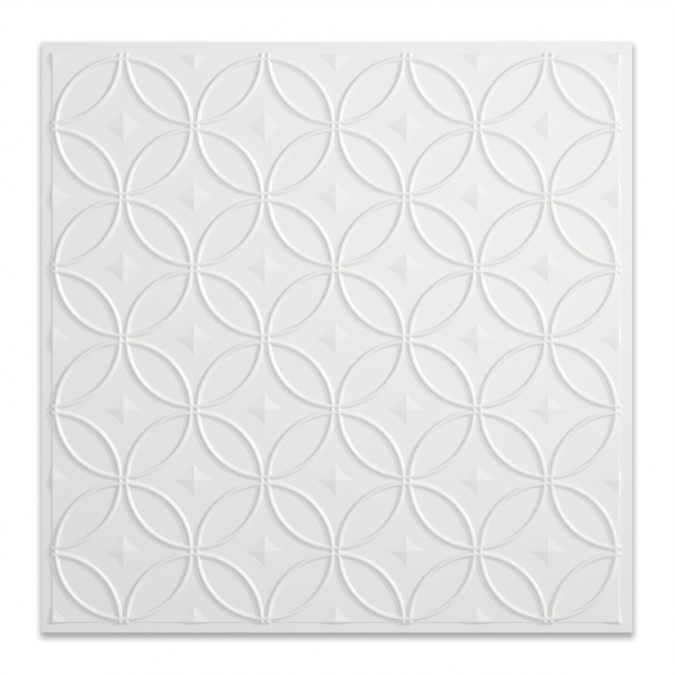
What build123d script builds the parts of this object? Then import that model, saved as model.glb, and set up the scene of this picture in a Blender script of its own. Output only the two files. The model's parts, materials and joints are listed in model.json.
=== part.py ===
from build123d import *
import os
from math import atan2, radians, tan

os.makedirs("parts", exist_ok=True)

# A square drop-in ceiling tile, formed from one thin white sheet. All sizes are in millimetres.
# It lies face up: the back of its flat rim is on z = 0, and the pattern stands above it.

# The cut sheet
tile_size = 603.25
sheet_thickness = 0.76
edge_round = 0.6

# The raised field, a whole number of repeats across, trimmed a little off the tile's centre
repeat = 144.6
repeats_across = 4
field_step = 0.85
wall_slope = 45.0
trim_x = -1.2
trim_y = -1.4

# The bead that draws the rings
bead_width = 6.2
bead_crest = 2.0
bead_height = 2.34
bead_gap = 0.4

# The four-pointed star in the middle of each ring
star_reach_x = 19.6
star_reach_y = 17.0
star_waist = 7.7
star_height = 2.0

# Sizes that follow from them
field_size = repeat * repeats_across
ring_radius = (repeat - bead_width - bead_gap) / 2
face_level = sheet_thickness + field_step
flank_angle = atan2(bead_height, (bead_width - bead_crest) / 2)
hollow_draw_in = sheet_thickness * tan(flank_angle / 2)


def ring(level, draw_in):
    """One ring's bead on a skirt that reaches down to z = 0, with its section drawn in on each side."""
    foot = bead_width / 2 - draw_in
    crest = bead_crest / 2 - draw_in
    with BuildPart() as bead:
        with BuildSketch(Plane.XZ):
            with BuildLine():
                Polyline(
                    (ring_radius - foot, 0),
                    (ring_radius - foot, level),
                    (ring_radius - crest, level + bead_height),
                    (ring_radius + crest, level + bead_height),
                    (ring_radius + foot, level),
                    (ring_radius + foot, 0),
                    close=True,
                )
            make_face()
        revolve(axis=Axis.Z)
    return bead.part


def star(level):
    """A low point with eight flat sides: four ridges run to its tips, and four valleys to its waists."""
    with BuildSketch(Plane.XY.offset(level)) as outline:
        with BuildLine():
            Polyline((star_reach_x, 0), (star_waist, star_waist), (0, star_reach_y))
            mirror(about=Plane.YZ)
            mirror(about=Plane.XZ)
        make_face()
    with BuildPart() as point:
        loft([outline.sketch.face(), Vertex(0, 0, level + star_height)], ruled=True)
    return point.part


def pattern_repeat(level, draw_in):
    """One square repeat: a slab with a whole ring and star, and a quarter of each at its corners."""
    bead = ring(level, draw_in)
    point = star(level)
    with BuildPart() as square:
        with BuildSketch():
            Rectangle(repeat, repeat)
        extrude(amount=level)
        add([bead, point])
        with GridLocations(repeat, repeat, 2, 2):
            add([bead, point])
        with BuildSketch():
            Rectangle(repeat, repeat)
        extrude(amount=level + 2 * bead_height, mode=Mode.INTERSECT)
    return square.part


def formed_field(level, draw_in):
    """The field of repeats, with its four sides run out and down at the wall's slope to z = 0."""
    square_repeat = pattern_repeat(level, draw_in)
    tallest = level + bead_height
    run = tallest / tan(radians(wall_slope))
    with BuildPart() as field:
        with GridLocations(repeat, repeat, repeats_across, repeats_across):
            add(square_repeat)
        for axis in (Axis.X, Axis.Y):
            for end, out in ((0, -1), (-1, 1)):
                end_faces = field.faces().group_by(axis)[end]
                down_the_slope = axis.direction * out * run - Vector(0, 0, tallest)
                extrude(end_faces, amount=down_the_slope.length, dir=down_the_slope)
        with BuildSketch():
            Rectangle(field_size + 2 * run, field_size + 2 * run)
        extrude(amount=tallest, mode=Mode.INTERSECT)
    return field.part


# The tile: its rim, the field with the pattern, and what the forming leaves open behind them
with BuildPart() as ceiling_tile:
    with BuildSketch():
        Rectangle(tile_size, tile_size)
    extrude(amount=sheet_thickness)
    fillet(ceiling_tile.faces().sort_by(Axis.Z)[-1].edges(), radius=edge_round)
    with Locations((trim_x, trim_y)):
        add(formed_field(face_level, 0))
        add(formed_field(field_step, hollow_draw_in), mode=Mode.SUBTRACT)

ceiling_tile.part.label = "ceiling_tile"
export_step(ceiling_tile.part, "parts/ceiling_tile.step")
print("ceiling_tile", ceiling_tile.part.volume, len(ceiling_tile.part.solids()), ceiling_tile.part.is_valid)
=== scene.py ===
# %% [markdown]
# This notebook finishes one white ceiling tile, laid face up on a white table. The real tile is a
# single thin plastic sheet that was warmed, drawn over a mould and cut square. It has a flat rim, a
# field that stands a little above it, and on the field a net of overlapping rings, with a
# four-pointed star in each.
#
# A solid model of the tile is loaded first, as the frame that every shape here has to fit. It could
# be given a finish as it is, but its beads have straight sides and sharp corners. So the sheet is
# modelled again at the same size, with the soft shapes that a warm sheet takes.

import json
from math import cos, log, radians, sin, tan

import bpy
import bmesh
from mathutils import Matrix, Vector

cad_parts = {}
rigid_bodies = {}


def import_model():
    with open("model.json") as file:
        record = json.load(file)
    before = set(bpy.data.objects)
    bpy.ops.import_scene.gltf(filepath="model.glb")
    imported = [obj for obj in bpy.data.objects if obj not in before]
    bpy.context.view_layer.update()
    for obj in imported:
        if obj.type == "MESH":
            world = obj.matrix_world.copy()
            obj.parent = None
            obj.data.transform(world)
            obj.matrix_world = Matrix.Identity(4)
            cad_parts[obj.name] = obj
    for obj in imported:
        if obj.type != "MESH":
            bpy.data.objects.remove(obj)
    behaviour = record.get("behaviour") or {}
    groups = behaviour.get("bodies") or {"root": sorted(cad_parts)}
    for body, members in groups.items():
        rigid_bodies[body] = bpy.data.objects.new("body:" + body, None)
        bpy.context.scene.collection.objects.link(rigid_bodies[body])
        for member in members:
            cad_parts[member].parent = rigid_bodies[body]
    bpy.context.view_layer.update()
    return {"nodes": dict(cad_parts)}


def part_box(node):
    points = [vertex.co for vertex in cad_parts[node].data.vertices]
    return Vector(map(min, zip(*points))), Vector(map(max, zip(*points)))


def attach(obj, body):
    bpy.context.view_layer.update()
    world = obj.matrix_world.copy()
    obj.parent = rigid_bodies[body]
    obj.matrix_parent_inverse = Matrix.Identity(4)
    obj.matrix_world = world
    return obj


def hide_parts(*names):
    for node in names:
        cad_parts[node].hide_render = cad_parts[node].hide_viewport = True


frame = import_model()
lowest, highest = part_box("ceiling_tile")
print("solid pieces in the frame:", len(frame["nodes"]))
print("the solid tile spans", [round(v, 5) for v in lowest], [round(v, 5) for v in highest])

# %% [markdown]
# Everything is in metres, so a size in millimetres is written times mm. The face of the sheet has
# two main levels. The rim lies on the table, so its face is as high as the sheet is thick, and the
# field stands a step above it. The tile's outline could be typed in like the rest, but it is read
# from the frame, so that the sheet can't come out larger than the solid.

# %% The sheet's outline and levels
mm = 0.001
tile_size = highest[0] - lowest[0]
half_tile = tile_size / 2
sheet_thickness = 0.76 * mm
field_step = 0.85 * mm
face_level = sheet_thickness + field_step
print("the tile is", round(tile_size / mm, 2), "mm wide, its field", round(face_level / mm, 2), "mm up")

# %% [markdown]
# The pattern is a net of rings, and a raised bead with sloping sides and a narrow crest draws each
# of them. The rings stand in a square net with a small gap between neighbours. Their radius could be
# measured on its own, but it follows from the net's pitch, the bead and the gap, so the three can be
# changed and the rings still fit. The bead's height is what the frame leaves above the field.

# %% The sizes of a ring
repeat = 144.6 * mm
bead_width = 6.2 * mm
bead_crest = 2.0 * mm
bead_gap = 0.4 * mm
bead_height = highest[2] - face_level
ring_radius = (repeat - bead_width - bead_gap) / 2
print("bead height", round(bead_height / mm, 2), "mm, ring radius", round(ring_radius / mm, 2), "mm")

# %% [markdown]
# A torus would make a ring quickly, but its section is a circle, and a real bead is low and wide. So
# the section is a row of points, from a root under the field over the crest to the other root. The
# toes beside the bead dip a hair under the field and the roots reach deep, so that no gap can open
# where the bead is joined to the field. A hair is also how near two places have to be to count as
# one.

# %% The points of a bead's section
hair = 0.01 * mm
toe_width = 1.5 * mm
toe = bead_width / 2 + toe_width
toe_dip = 3 * hair
root = 2 * mm
section = [
    (-toe, -root),
    (-toe, -toe_dip),
    (-bead_width / 2, 0),
    (-bead_crest / 2, bead_height),
    (bead_crest / 2, bead_height),
    (bead_width / 2, 0),
    (toe, -toe_dip),
    (toe, -root),
]
print("points in the section:", len(section))

# %% [markdown]
# The shapes are made with the operators that one would use by hand. They act on all that is
# selected, and loading the frame leaves its nodes selected, so everything is deselected first. The
# section could be built from its list in one call, but it is drawn as by hand: a tiny plane is
# merged into a single vertex, and each extrusion adds the next point.

# %% The section drawn
print("nodes still selected after loading:", len(bpy.context.selected_objects))
start = (ring_radius + section[0][0], 0, face_level + section[0][1])
bpy.ops.object.select_all(action="DESELECT")
bpy.ops.mesh.primitive_plane_add(size=mm, location=start)
ring = bpy.context.object
bpy.ops.object.transform_apply(location=True, rotation=False, scale=False)
bpy.ops.object.mode_set(mode="EDIT")
bpy.ops.mesh.merge(type="CENTER")
for (from_x, from_z), (to_x, to_z) in zip(section, section[1:]):
    step = (to_x - from_x, 0, to_z - from_z)
    bpy.ops.mesh.extrude_vertices_move(TRANSFORM_OT_translate={"value": step})
print("points drawn:", len(bmesh.from_edit_mesh(ring.data).verts))

# %% [markdown]
# The next step works on a few of these points, and a script can't click on them. They could be named
# by their numbers, but operators change those. So a helper takes the mouse's place: it picks
# vertices, edges or faces by a test on where they are, like a box select in a front or top view.

# %% A helper for picking
def pick(obj, kind, test):
    """In edit mode, select just the vertices, edges or faces for which test(element) holds."""
    bpy.ops.mesh.select_mode(type=kind)
    bpy.ops.mesh.select_all(action="DESELECT")
    mesh = bmesh.from_edit_mesh(obj.data)
    elements = {"VERT": mesh.verts, "EDGE": mesh.edges, "FACE": mesh.faces}[kind]
    chosen = [element for element in elements if test(element)]
    for element in chosen:
        element.select_set(True)
    mesh.select_flush_mode()
    bmesh.update_edit_mesh(obj.data)
    return len(chosen)


print("it works in edit mode, and the mode is", bpy.context.mode)

# %% [markdown]
# The warm sheet didn't follow the mould right into its corners, so the bead is rounded at its feet
# and along its crest. The section could be drawn with more points, but a vertex bevel keeps each
# rounding a single size that is easy to change. A bevel needs a face to work in, so the section is
# filled for this step and emptied after it.

# %% Its rounded feet and crest
foot_round = 0.55 * mm
foot_steps = 2
crest_round = 0.85 * mm
crest_steps = 3
bpy.ops.mesh.select_all(action="SELECT")
bpy.ops.mesh.edge_face_add()
for height, size, steps in ((0, foot_round, foot_steps), (bead_height, crest_round, crest_steps)):
    rounded = pick(ring, "VERT", lambda v: abs(v.co.z - face_level - height) < hair)
    bpy.ops.mesh.bevel(affect="VERTICES", offset=size, offset_type="OFFSET", segments=steps)
    print("corners rounded:", rounded, "by", round(size / mm, 2), "mm")
bpy.ops.mesh.select_all(action="SELECT")
bpy.ops.mesh.delete(type="ONLY_FACE")

# %% [markdown]
# The ring is this section turned round the middle of a repeat. A circle curve with the section as
# its bevel would make it too, but a spin works on the mesh itself and takes the number of steps. It
# ends where it began, so its doubles are merged. A spin can turn a shape inside out, so its normals
# are worked out again after that.

# %% One ring
def triangle_count(obj):
    """How many triangles the mesh of obj comes to."""
    return sum(len(face.vertices) - 2 for face in obj.data.polygons)


ring_steps = 80
merge_distance = hair / 2
bpy.ops.mesh.select_all(action="SELECT")
bpy.ops.mesh.spin(steps=ring_steps, angle=radians(360), center=(0, 0, 0), axis=(0, 0, 1))
bpy.ops.mesh.select_all(action="SELECT")
bpy.ops.mesh.remove_doubles(threshold=merge_distance)
bpy.ops.mesh.normals_make_consistent(inside=False)
bpy.ops.object.mode_set(mode="OBJECT")
print("one ring:", triangle_count(ring), "triangles")

# %% [markdown]
# In each ring stands a low star with four points and eight sides. A cone with four corners would be
# quick, but its outline is straight, where the real one is hollow, and the real sides are steeper at
# the foot than near the top. So the star starts as a plate with sixteen corners. It is extruded up
# to a shoulder, drawn in there, and its top is poked and raised to a point.

# %% The plate of a star
star_corners = 16
star_reach_x = 19.6 * mm
star_height = 2.0 * mm
shoulder_reach = 0.55
shoulder_height = (1 - shoulder_reach) * star_height
bpy.ops.object.select_all(action="DESELECT")
bpy.ops.mesh.primitive_circle_add(
    vertices=star_corners, radius=star_reach_x, fill_type="NGON", location=(0, 0, face_level)
)
star = bpy.context.object
bpy.ops.object.transform_apply(location=True, rotation=False, scale=False)
bpy.ops.object.mode_set(mode="EDIT")
bpy.ops.mesh.select_all(action="SELECT")
bpy.ops.mesh.extrude_region_move(TRANSFORM_OT_translate={"value": (0, 0, shoulder_height)})
bpy.ops.transform.resize(value=(shoulder_reach, shoulder_reach, 1), center_override=(0, 0, 0))
bpy.ops.mesh.poke()
pick(star, "VERT", lambda v: v.co.to_2d().length < hair)
bpy.ops.transform.translate(value=(0, 0, star_height - shoulder_height))
print("the star's shoulder is", round(shoulder_height / mm, 2), "mm up")

# %% [markdown]
# Four corners stay on the axes as the star's long tips. The ones between are pulled in towards the
# middle. Each could be moved by hand to a place read from a drawing, but one formula does it: a
# superellipse, whose exponent is 1 for straight sides and less for hollow ones. The exponent of the
# foot follows from the width of the star's waist, and the shoulder is drawn straight, which makes
# the sides steeper at the foot.

# %% The star's hollow outline
star_waist = 8.4 * mm
foot_curve = log(0.5) / log(star_waist / star_reach_x)
shoulder_curve = 1.0


def pull_in(obj, reach, level, curve):
    """Pull the corners between the tips in, from a circle of that reach onto a superellipse."""

    def on_circle(v):
        return abs(v.co.to_2d().length - reach) < hair and v.co.z > level - hair

    for step in range(1, star_corners // 4):
        angle = radians(360 / star_corners) * step
        corner = reach * cos(angle)
        pull = (cos(angle) ** curve + sin(angle) ** curve) ** (-1 / curve)
        pick(obj, "VERT", lambda v: on_circle(v) and abs(abs(v.co.x) - corner) < hair)
        bpy.ops.transform.resize(value=(pull, pull, 1), center_override=(0, 0, 0))


pull_in(star, shoulder_reach * star_reach_x, face_level + shoulder_height, shoulder_curve)
pull_in(star, star_reach_x, face_level, foot_curve)
print("exponent of the star's foot:", round(foot_curve, 2))

# %% [markdown]
# The star needs a root under the field, like the ring's, so that the two can be joined. Its bottom
# face is extruded down for it. The real star is a little wider than it is tall, so at last the whole
# star is squashed, which is simpler than a formula with two reaches.

# %% One star
star_reach_y = 17.0 * mm
squash = (1, star_reach_y / star_reach_x, 1)
pick(star, "FACE", lambda f: abs(f.calc_center_median().z - face_level) < hair)
bpy.ops.mesh.extrude_region_move(TRANSFORM_OT_translate={"value": (0, 0, -root)})
bpy.ops.mesh.select_all(action="SELECT")
bpy.ops.transform.resize(value=squash, center_override=(0, 0, 0))
bpy.ops.mesh.normals_make_consistent(inside=False)
bpy.ops.object.mode_set(mode="OBJECT")
print("one star:", triangle_count(star), "triangles")

# %% [markdown]
# Rings and stars have to be joined to the level field between them. A plane would do for the field,
# but a Boolean needs closed solids, so it starts as a slab. The slab is larger than the repeat that
# is wanted and deeper than the roots, so everything below the field disappears inside it.

# %% A slab for the field
slab_margin = 10 * mm
slab_depth = 8 * mm
slab_width = repeat + 2 * slab_margin
bpy.ops.object.select_all(action="DESELECT")
bpy.ops.mesh.primitive_cube_add(size=1, location=(0, 0, face_level - slab_depth / 2))
tile = bpy.context.object
tile.name = "formed_tile"
tile.dimensions = (slab_width, slab_width, slab_depth)
bpy.ops.object.transform_apply(location=True, rotation=False, scale=True)
print("the slab is", round(slab_width / mm, 1), "mm wide and", round(slab_depth / mm, 1), "mm deep")

# %% [markdown]
# The pattern repeats on a square, with a whole ring and star in its middle and a quarter of each at
# its corners. Quarter rings could be modelled for the corners, but whole ones are trimmed with the
# square later. So the ring and the star are copied to these five places, each copy with its own mesh.

# %% Rings and stars in their places
centres = [(0, 0)] + [(sx * repeat / 2, sy * repeat / 2) for sx in (-1, 1) for sy in (-1, 1)]
raised = bpy.data.collections.new("raised forms")
bpy.context.scene.collection.children.link(raised)
for form in (ring, star):
    for x, y in centres:
        copy = form.copy()
        copy.data = form.data.copy()
        raised.objects.link(copy)
        copy.location = (x, y, 0)
    bpy.data.objects.remove(form, do_unlink=True)

# %% [markdown]
# Modifiers will do the slow work on the whole tile. They could stay live, but the steps between them
# edit the mesh that they make, so each is applied at once. That acts on the active object, so one
# helper makes an object the active and only selected one, and another applies its modifiers.

# %% Helpers for modifiers
def alone(obj):
    """Make obj the only selected object, and the active one."""
    bpy.ops.object.select_all(action="DESELECT")
    obj.select_set(True)
    bpy.context.view_layer.objects.active = obj


def finish_modifiers(obj):
    """Apply every modifier of obj, in order."""
    alone(obj)
    for modifier in list(obj.modifiers):
        bpy.ops.object.modifier_apply(modifier=modifier.name)


print("the slab before its modifiers:", triangle_count(tile), "triangles")

# %% [markdown]
# Where two beads cross, the real sheet has a clean crease, and at each meeting of four they make a
# small grid of humps. Cutting one bead at each crossing by hand would be slow. A Boolean union does
# them all, and what is left on top is the surface of the mould. The exact solver is used, and told
# that the forms cut each other too, because the crests cross at the same height.

# %% The forms joined to the slab
union = tile.modifiers.new("raised forms", "BOOLEAN")
union.operation = "UNION"
union.operand_type = "COLLECTION"
union.collection = raised
union.solver = "EXACT"
union.use_self = True
finish_modifiers(tile)
for piece in list(raised.objects):
    bpy.data.objects.remove(piece, do_unlink=True)
bpy.data.collections.remove(raised)
print("slab with rings and stars:", triangle_count(tile), "triangles")

# %% [markdown]
# Only the skin on top is wanted, because the sheet gets its thickness later. The faces below the
# field are deleted, and four bisect cuts trim the skin to the repeat's square. A second Boolean
# could trim it too, but it needs a closed solid and would leave a wall along each cut.

# %% One repeat of the skin
on_the_cut = hair / 10
alone(tile)
bpy.ops.object.mode_set(mode="EDIT")
pick(tile, "FACE", lambda f: f.calc_center_median().z < face_level - hair)
bpy.ops.mesh.delete(type="FACE")
for normal in ((1, 0, 0), (-1, 0, 0), (0, 1, 0), (0, -1, 0)):
    side = Vector(normal) * repeat / 2
    bpy.ops.mesh.select_all(action="SELECT")
    bpy.ops.mesh.bisect(plane_co=side, plane_no=normal, clear_outer=True, threshold=on_the_cut)
bpy.ops.mesh.select_all(action="SELECT")
bpy.ops.mesh.remove_doubles(threshold=merge_distance)
print("faces in one repeat:", len(bmesh.from_edit_mesh(tile.data).faces))

# %% [markdown]
# The stars' outlines and their four ridges on the axes are crisp on the real tile, though the sides
# beside them are nearly level. Smoothing by angle will come later for the beads, and it would lose
# these edges. So they are marked sharp, by their place, now that there are only a few of them.

# %% The stars' crisp edges
def on_star_crease(e):
    """Whether an edge lies on a star's outline or on one of its four ridges."""
    for x, y in centres:
        places = [v.co - Vector((x, y, face_level)) for v in e.verts]
        if max(place.to_2d().length for place in places) < star_reach_x + hair:
            outline = max(place.z for place in places) < hair
            return outline or any(max(abs(place[axis]) for place in places) < hair for axis in (0, 1))
    return False


star_edges = pick(tile, "EDGE", on_star_crease)
bpy.ops.mesh.mark_sharp()
bpy.ops.object.mode_set(mode="OBJECT")
print("one repeat of the skin:", triangle_count(tile), "triangles,", star_edges, "crisp star edges")

# %% [markdown]
# The field is four repeats wide and four deep. Sixteen joined copies would do, but two Array
# modifiers lay them out, merge the seams and keep the pitch a single value. The real field was
# trimmed a little off the middle of the tile, so the first repeat starts from a shifted corner.

# %% The whole field
repeats_across = 4
trim_x = -1.2 * mm
trim_y = -1.4 * mm
first = -(repeats_across - 1) / 2 * repeat
tile.location = (trim_x + first, trim_y + first, 0)
bpy.ops.object.transform_apply(location=True, rotation=False, scale=False)
for offset in ((repeat, 0, 0), (0, repeat, 0)):
    row = tile.modifiers.new("row", "ARRAY")
    row.count = repeats_across
    row.use_relative_offset = False
    row.use_constant_offset = True
    row.constant_offset_displace = offset
    row.use_merge_vertices = True
    row.merge_threshold = hair
finish_modifiers(tile)
print("the field:", triangle_count(tile), "triangles")

# %% [markdown]
# Round the field the sheet bends over and slopes down to its rim. A bevel along that edge could
# round it, but it would fold the slivers beside the beads, which are narrower than the bend. So the
# bend is extruded instead, and for that the skin is first trimmed to where the bend starts.

# %% The field trimmed for its bend
half_field = repeat * repeats_across / 2
top_bend = 0.4 * mm
sides = [(axis, side) for axis in (0, 1) for side in (-1, 1)]

alone(tile)
bpy.ops.object.mode_set(mode="EDIT")
bpy.ops.mesh.select_all(action="SELECT")
bpy.ops.mesh.remove_doubles(threshold=hair)
for axis, side in sides:
    outward = [0, 0, 0]
    outward[axis] = side
    cut = Vector((trim_x, trim_y, 0)) + Vector(outward) * (half_field - top_bend)
    bpy.ops.mesh.select_all(action="SELECT")
    bpy.ops.mesh.bisect(plane_co=cut, plane_no=outward, clear_outer=True, threshold=on_the_cut)
bpy.ops.mesh.select_all(action="SELECT")
bpy.ops.mesh.remove_doubles(threshold=hair)
border = pick(tile, "EDGE", lambda e: e.is_boundary)
print("edges along the field's border:", border)

# %% [markdown]
# The open border goes down the mould's edge in steps, and a helper makes one step. It could slide
# the border out and down in one move, but each side goes out its own way. So it extrudes the whole
# border straight down first, and then picks each side and moves it out. Every bead and star that
# reaches the border is carried along, as when the sheet was drawn over that edge.

# %% A helper for one step down a slope
def beyond(v, axis, side):
    """How far v lies outside the field on one side of it."""
    return side * (v.co[axis] - (trim_x, trim_y)[axis]) - half_field


def slope_down(border_at, length, slope):
    """Extrude the open border down a slope, and return how far outside the field it then lies."""
    pick(tile, "EDGE", lambda e: e.is_boundary)
    down = (0, 0, -length * sin(slope))
    bpy.ops.mesh.extrude_edges_move(TRANSFORM_OT_translate={"value": down})
    for axis, side in sides:
        pick(tile, "VERT", lambda v: v.is_boundary and abs(beyond(v, axis, side) - border_at) < hair)
        out = [0, 0, 0]
        out[axis] = side * length * cos(slope)
        bpy.ops.transform.translate(value=out)
    return border_at + length * cos(slope)


print("the border starts", round(top_bend / mm, 2), "mm inside the field's edge")

# %% [markdown]
# The bend is an arc from level to the slope of the wall. Its chords could be read from a drawing,
# but two sizes give them all: the slope, and how far from the edge the arc starts. Each chord slopes
# like the middle of its stretch of arc, and all are equally long.

# %% The bend along the top of the wall
wall_slope = radians(45)
bend_steps = 2
half_step = wall_slope / bend_steps / 2
chord = 2 * top_bend / tan(wall_slope / 2) * sin(half_step)
border_at = -top_bend
for step in range(bend_steps):
    border_at = slope_down(border_at, chord, (2 * step + 1) * half_step)
print("the bend ends", round(border_at / mm, 2), "mm outside the field")

# %% [markdown]
# The wall itself is one more step, which runs on past the rim, and a bisect cuts it off at the level
# of the rim. Ending the step at that level would be simpler, but it would only be right between the
# beads. Cut off like this, the wall comes out further below a star or a bead, as on a drawn sheet.

# %% The sloping wall
spare_depth = 1.2
drop = spare_depth * (field_step + bead_height)
rim_level = (0, 0, sheet_thickness)
slope_down(border_at, drop / sin(wall_slope), wall_slope)
bpy.ops.mesh.select_all(action="SELECT")
bpy.ops.mesh.bisect(plane_co=rim_level, plane_no=(0, 0, -1), clear_outer=True, threshold=on_the_cut)
bpy.ops.object.mode_set(mode="OBJECT")
print("field and wall:", triangle_count(tile), "triangles")

# %% [markdown]
# The foot of the wall is the new border, and the flat rim starts from it. A plane with a hole could
# be bridged to it, but the two would need the same points. So the border is extruded in place, and
# each side of it is squashed onto the tile's outline by a scale of zero. On an open skin, inside and
# outside are a guess, so the direction of the faces is measured at last, and turned if it is wrong.

# %% The rim
bpy.ops.object.mode_set(mode="EDIT")
pick(tile, "EDGE", lambda e: e.is_boundary)
bpy.ops.mesh.extrude_edges_move(TRANSFORM_OT_translate={"value": (0, 0, 0)})
for axis, side in sides:
    pick(tile, "VERT", lambda v: v.is_boundary and beyond(v, axis, side) > hair)
    flatten = [1, 1, 1]
    flatten[axis] = 0
    outline = [0, 0, 0]
    outline[axis] = side * half_tile
    bpy.ops.transform.resize(value=flatten, center_override=outline)
bpy.ops.mesh.select_all(action="SELECT")
bpy.ops.mesh.normals_make_consistent(inside=False)
bpy.ops.object.mode_set(mode="OBJECT")
upward = sum(face.area * face.normal.z for face in tile.data.polygons)
if upward < 0:
    tile.data.flip_normals()
print("the faces pointed up by themselves:", upward > 0)

# %% [markdown]
# At the foot of the wall the warm sheet spans the mould's inner corner, in a wider bend than at the
# top. It could be extruded as well, but nothing narrow stands beside this edge, so a bevel does it in
# one step. The edge is picked by its place: level with the rim, outside the field, and not on the
# tile's outline.

# %% The bend along the foot of the wall
foot_bend = 0.7 * mm
foot_bend_steps = 2


def on_foot_bend(e):
    """Whether an edge lies along the foot of the wall."""
    level_at_rim = all(abs(v.co.z - sheet_thickness) < hair for v in e.verts)
    off_outline = all(max(abs(v.co.x), abs(v.co.y)) < half_tile - hair for v in e.verts)
    outside = any(all(beyond(v, axis, side) > hair for v in e.verts) for axis, side in sides)
    return level_at_rim and off_outline and outside


alone(tile)
bpy.ops.object.mode_set(mode="EDIT")
bent = pick(tile, "EDGE", on_foot_bend)
bpy.ops.mesh.bevel(offset=foot_bend, offset_type="OFFSET", segments=foot_bend_steps)
bpy.ops.object.mode_set(mode="OBJECT")
print("edges bent:", bent, " the skin:", triangle_count(tile), "triangles")

# %% [markdown]
# So far the tile is a skin with no back. The real back follows the face, so it is hollow behind
# every raised form. A copy of the skin, moved straight down, would leave the slopes too thin, so
# Solidify is used: it measures the thickness square to the face, downwards from it.

# %% The sheet's thickness
solidify = tile.modifiers.new("sheet thickness", "SOLIDIFY")
solidify.thickness = sheet_thickness
solidify.offset = -1
solidify.use_even_offset = True
solidify.use_quality_normals = True
finish_modifiers(tile)
print("the sheet with its back:", triangle_count(tile), "triangles")

# %% [markdown]
# The back of the rim lies on the table, but Solidify leaves its points a hair off level. A scale of
# zero presses them flat, as it did for the outline. The upper edge of the cut is a little round on
# the real tile. A Bevel modifier limited by angle would find the creases between the beads as well,
# so the edge is picked by its place and bevelled in edit mode.

# %% The flat back of the rim, and its cut edge
edge_round = 0.6 * mm
edge_steps = 3


def on_cut_edge(e):
    """Whether an edge lies on the tile's outline, at the level of the rim's face."""
    middle = (e.verts[0].co + e.verts[1].co) / 2
    on_outline = abs(max(abs(middle.x), abs(middle.y)) - half_tile) < hair
    return on_outline and abs(middle.z - sheet_thickness) < hair


bpy.ops.object.mode_set(mode="EDIT")
rim_back = pick(tile, "VERT", lambda v: abs(v.co.z) < hair)
bpy.ops.transform.resize(value=(1, 1, 0), center_override=(0, 0, 0))
cut_edges = pick(tile, "EDGE", on_cut_edge)
bpy.ops.mesh.bevel(offset=edge_round, offset_type="OFFSET", segments=edge_steps)
bpy.ops.object.mode_set(mode="OBJECT")
print("points pressed flat:", rim_back, " cut edges rounded:", cut_edges)
print("the tile:", triangle_count(tile), "triangles")

# %% [markdown]
# The beads are round to the eye, and shading them smooth does more for that than twice the faces
# would. Where two faces meet at a larger angle, as where beads cross, the crease stays, and so do
# the marks on the stars. Smooth shading alone would bend the light on the large level faces too. A
# Weighted Normal modifier keeps those level, and the narrow strips take the whole blend.

# %% Smooth beads, crisp stars, level field
smooth_limit = radians(28)
bpy.ops.object.shade_smooth_by_angle(angle=smooth_limit, keep_sharp_edges=True)
level = tile.modifiers.new("level faces", "WEIGHTED_NORMAL")
level.keep_sharp = True
finish_modifiers(tile)
sharp = sum(edge.use_edge_sharp for edge in tile.data.edges)
print("sharp edges:", sharp, "of", len(tile.data.edges))

# %% [markdown]
# A material is a tree of nodes, which one would add and join in the shader editor. A script could
# put them all in one place, but then nobody could read the tree there. So a helper adds a node at a
# place of its own and sets the inputs that are named.

# %% A helper for nodes
def node(tree, kind, at, **values):
    """Add a node at a place in the editor, and set the inputs that are named."""
    made = tree.nodes.new(kind)
    made.location = at
    for name, value in values.items():
        made.inputs[name.replace("_", " ")].default_value = value
    return made


white_plastic = bpy.data.materials.new("white_sheet_plastic")
white_plastic.use_nodes = True
print("nodes in a new material:", [made.name for made in white_plastic.node_tree.nodes])

# %% [markdown]
# The sheet is white plastic with a satin sheen: smooth, but not like a mirror. Its colour could be
# one value, but a face of one value looks dead flat. So a soft, large noise lets the white drift by
# less than a percent. The noise reads Object coordinates, which stay with the tile.

# %% The white of the plastic
darker_white = (0.8, 0.804, 0.785, 1)
lighter_white = (0.807, 0.81, 0.792, 1)
tree = white_plastic.node_tree
tree.nodes.clear()
output = node(tree, "ShaderNodeOutputMaterial", (700, 0))
surface = node(tree, "ShaderNodeBsdfPrincipled", (400, 0), Roughness=0.5, IOR=1.5)
tree.links.new(surface.outputs["BSDF"], output.inputs["Surface"])
place = node(tree, "ShaderNodeTexCoord", (-900, 0))

drift = node(tree, "ShaderNodeTexNoise", (-600, 250), Scale=6.0, Detail=2.0)
tint = node(tree, "ShaderNodeValToRGB", (-300, 250))
tint.color_ramp.elements[0].color = darker_white
tint.color_ramp.elements[1].color = lighter_white
tree.links.new(place.outputs["Object"], drift.inputs["Vector"])
tree.links.new(drift.outputs["Fac"], tint.inputs["Fac"])
tree.links.new(tint.outputs["Color"], surface.inputs["Base Color"])
print("nodes for the white:", len(tree.nodes))

# %% [markdown]
# Close to, the plastic shows a very fine grain from the rollers that made the sheet, and long,
# shallow waves left by the forming. Both are far finer than the mesh, and modelling them would take
# millions of faces, so they are bump. The grain's normal goes into the waves' Bump node, and the sum
# of the two goes to the surface.

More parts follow.
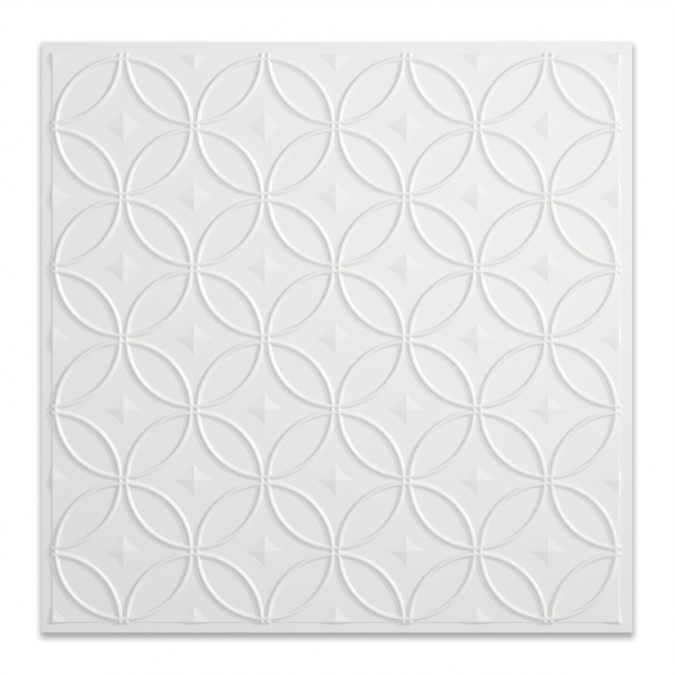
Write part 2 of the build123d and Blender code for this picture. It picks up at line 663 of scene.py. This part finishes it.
# %% The grain and waves of the plastic
grain_height = 0.05 * mm
wave_height = 0.8 * mm
grain = node(tree, "ShaderNodeTexNoise", (-600, -50), Scale=1400.0, Detail=3.0, Roughness=0.6)
waves = node(tree, "ShaderNodeTexNoise", (-600, -300), Scale=14.0, Detail=1.0)
fine = node(tree, "ShaderNodeBump", (-200, -150), Strength=0.12, Distance=grain_height)
long = node(tree, "ShaderNodeBump", (0, -250), Strength=0.08, Distance=wave_height)
for texture in (grain, waves):
    tree.links.new(place.outputs["Object"], texture.inputs["Vector"])
tree.links.new(grain.outputs["Fac"], fine.inputs["Height"])
tree.links.new(waves.outputs["Fac"], long.inputs["Height"])
tree.links.new(fine.outputs["Normal"], long.inputs["Normal"])
tree.links.new(long.outputs["Normal"], surface.inputs["Normal"])
print("nodes in the whole material:", len(tree.nodes))

# %% [markdown]
# The tile takes the place of the solid, which is hidden but still gives the part its weight and its
# contact with the table. The tile is one piece of stock with nothing that moves, so it rides on the
# only body there is.

# %% The tile in the solid's place
tile.data.materials.clear()
tile.data.materials.append(white_plastic)
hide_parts("ceiling_tile")
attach(tile, "root")
print("the tile's material:", tile.data.materials[0].name)

# %% [markdown]
# The tile lies on a plain white table. The table isn't part of the tile, so a single large plane is
# enough for it. It lies a little below the back of the rim, because two surfaces in one place would
# show through each other in patches.

# %% The table
table_size = 6
table_gap = 0.02 * mm
bpy.ops.mesh.primitive_plane_add(size=table_size, location=(0, 0, -table_gap))
table = bpy.context.object
table.name = "table"
print("the table is", table_size, "m wide")

# %% [markdown]
# A lit white table comes out grey, and more lamps would bleach the tile with it. So the table glows
# with a strength of 1 wherever the camera, a reflection or clear stuff sees it. For all other light
# it is matt paint, which throws a plain amount back at the tile.

# %% The white of the table
matt_white = (0.8, 0.8, 0.8, 1)
white_table = bpy.data.materials.new("white_table")
white_table.use_nodes = True
tree = white_table.node_tree
tree.nodes.clear()
output = node(tree, "ShaderNodeOutputMaterial", (900, 0))
paint = node(tree, "ShaderNodeBsdfDiffuse", (300, 150), Color=matt_white)
bright = node(tree, "ShaderNodeEmission", (300, -100), Strength=1.0)
mix = node(tree, "ShaderNodeMixShader", (600, 0))
rays = node(tree, "ShaderNodeLightPath", (0, 400))
seen = rays.outputs["Is Camera Ray"]
for row, kind in enumerate(("Is Glossy Ray", "Is Transmission Ray")):
    either = node(tree, "ShaderNodeMath", (200 + 180 * row, 400))
    either.operation = "MAXIMUM"
    tree.links.new(seen, either.inputs[0])
    tree.links.new(rays.outputs[kind], either.inputs[1])
    seen = either.outputs["Value"]
tree.links.new(seen, mix.inputs["Fac"])
tree.links.new(paint.outputs["BSDF"], mix.inputs[1])
tree.links.new(bright.outputs["Emission"], mix.inputs[2])
tree.links.new(mix.outputs["Shader"], output.inputs["Surface"])
table.data.materials.append(white_table)
print("nodes for the white of the table:", len(tree.nodes))

# %% [markdown]
# A thin sheet lays a soft shade just outside its own outline, stronger along its lower edge here. A
# table that glows shows no cast shadow, so the shade is painted on it. One fade runs across and one
# along, each by the distance from the middle, and their product is a soft-edged square. It reaches a
# little further than the tile, and is shifted down.

# %% Where the shade lies
shade_shift = {"X": 0.32 * mm, "Y": -4.44 * mm}
shade_margin = 1.77 * mm
shade_reach = half_tile + shade_margin
shade_blur = 6.0 * mm
place = node(tree, "ShaderNodeTexCoord", (-900, -100))
axes = node(tree, "ShaderNodeSeparateXYZ", (-700, -100))
tree.links.new(place.outputs["Object"], axes.inputs["Vector"])
both = node(tree, "ShaderNodeMath", (20, -100))
both.operation = "MULTIPLY"
for row, axis in enumerate("XY"):
    centred = node(tree, "ShaderNodeMath", (-500, -200 * row))
    centred.operation = "SUBTRACT"
    centred.inputs[1].default_value = shade_shift[axis]
    distance = node(tree, "ShaderNodeMath", (-330, -200 * row))
    distance.operation = "ABSOLUTE"
    fade = node(tree, "ShaderNodeMapRange", (-160, -200 * row), To_Min=1.0, To_Max=0.0)
    fade.inputs["From Min"].default_value = shade_reach - shade_blur
    fade.inputs["From Max"].default_value = shade_reach + shade_blur
    fade.interpolation_type = "SMOOTHSTEP"
    tree.links.new(axes.outputs[axis], centred.inputs[0])
    tree.links.new(centred.outputs["Value"], distance.inputs[0])
    tree.links.new(distance.outputs["Value"], fade.inputs["Value"])
    tree.links.new(fade.outputs["Result"], both.inputs[row])
print("the shade fades over", round(2 * shade_blur / mm, 1), "mm")

# %% [markdown]
# The product of the fades is 1 under the tile and 0 far from it. It could dim the glow's strength,
# but as the mix between white and a grey it also sets how dark the shade is where it shows.

# %% The colour of the shade
plain_white = (1, 1, 1, 1)
shade_grey = (0.4, 0.4, 0.4, 1)
colour = node(tree, "ShaderNodeMix", (160, -250))
colour.data_type = "RGBA"
colour.inputs["A"].default_value = plain_white
colour.inputs["B"].default_value = shade_grey
tree.links.new(both.outputs["Value"], colour.inputs["Factor"])
tree.links.new(colour.outputs["Result"], bright.inputs["Color"])
print("nodes in the table's material:", len(tree.nodes))

# %% [markdown]
# White relief shows only by its shading, so the most important lamp is a low one from the right. It
# rakes across the face, draws the beads and lays short shadows beside them. A spot or area lamp
# would come in steeper on the near side. A sun comes in at one angle everywhere.

# %% The raking lamp
def lamp(name, kind, strength, azimuth, elevation, distance, target=(0, 0, 0)):
    """Add a lamp at a bearing and height round the tile, shining at the target."""
    light = bpy.data.lights.new(name, kind)
    light.energy = strength
    holder = bpy.data.objects.new(name, light)
    bpy.context.scene.collection.objects.link(holder)
    flat = cos(radians(elevation))
    direction = (flat * cos(radians(azimuth)), flat * sin(radians(azimuth)), sin(radians(elevation)))
    holder.location = Vector(direction) * distance
    holder.rotation_euler = (holder.location - Vector(target)).to_track_quat("Z", "Y").to_euler()
    print(name, "lamp at", [round(v, 2) for v in holder.location])
    return light


raking = lamp("raking", "SUN", strength=1.18, azimuth=27, elevation=20.4, distance=2)
raking.angle = radians(0.5)

# %% [markdown]
# A large soft lamp hangs above, a little to the right. It is aimed past the top edge, so its light
# falls off slowly towards the bottom and the left, as in the photograph. The world gives the rest,
# the same from all sides, which keeps the shaded slopes pale. The three together are set so that a
# colour renders about as it is written.

# %% The soft lamp and the world
softbox_target = (-0.12, 0.98, 0)
softbox = lamp(
    "softbox", "AREA", strength=5.3, azimuth=15, elevation=74, distance=1.2, target=softbox_target
)
softbox.size = 0.6
world_strength = 0.581
world = bpy.data.worlds.new("studio")
bpy.context.scene.world = world
world.use_nodes = True
background = world.node_tree.nodes["Background"]
background.inputs["Color"].default_value = plain_white
background.inputs["Strength"].default_value = world_strength
print("world strength", world_strength)

# %% [markdown]
# The photograph looks straight down, so the camera does too, with its top towards +Y. Its height
# could be found by trial, but the tile's side spans a known number of the picture's 675 pixels, and
# that gives it at once. A long lens keeps the view nearly parallel.

# %% Camera
picture = 675
tile_side_in_picture = 590.7
tile_middle_in_picture = (336.8, 337.35)
lens_angle = radians(12)

pixel = tile_size / tile_side_in_picture
view_width = picture * pixel
camera_data = bpy.data.cameras.new("camera")
camera = bpy.data.objects.new("camera", camera_data)
bpy.context.scene.collection.objects.link(camera)
camera_data.sensor_fit = "HORIZONTAL"
camera_data.angle = lens_angle
camera.location = (
    (picture / 2 - tile_middle_in_picture[0]) * pixel,
    -(picture / 2 - tile_middle_in_picture[1]) * pixel,
    sheet_thickness + view_width / 2 / tan(lens_angle / 2),
)
bpy.context.scene.camera = camera
bpy.context.scene.view_settings.view_transform = "Standard"
print("camera height", round(camera.location.z, 3), "m")
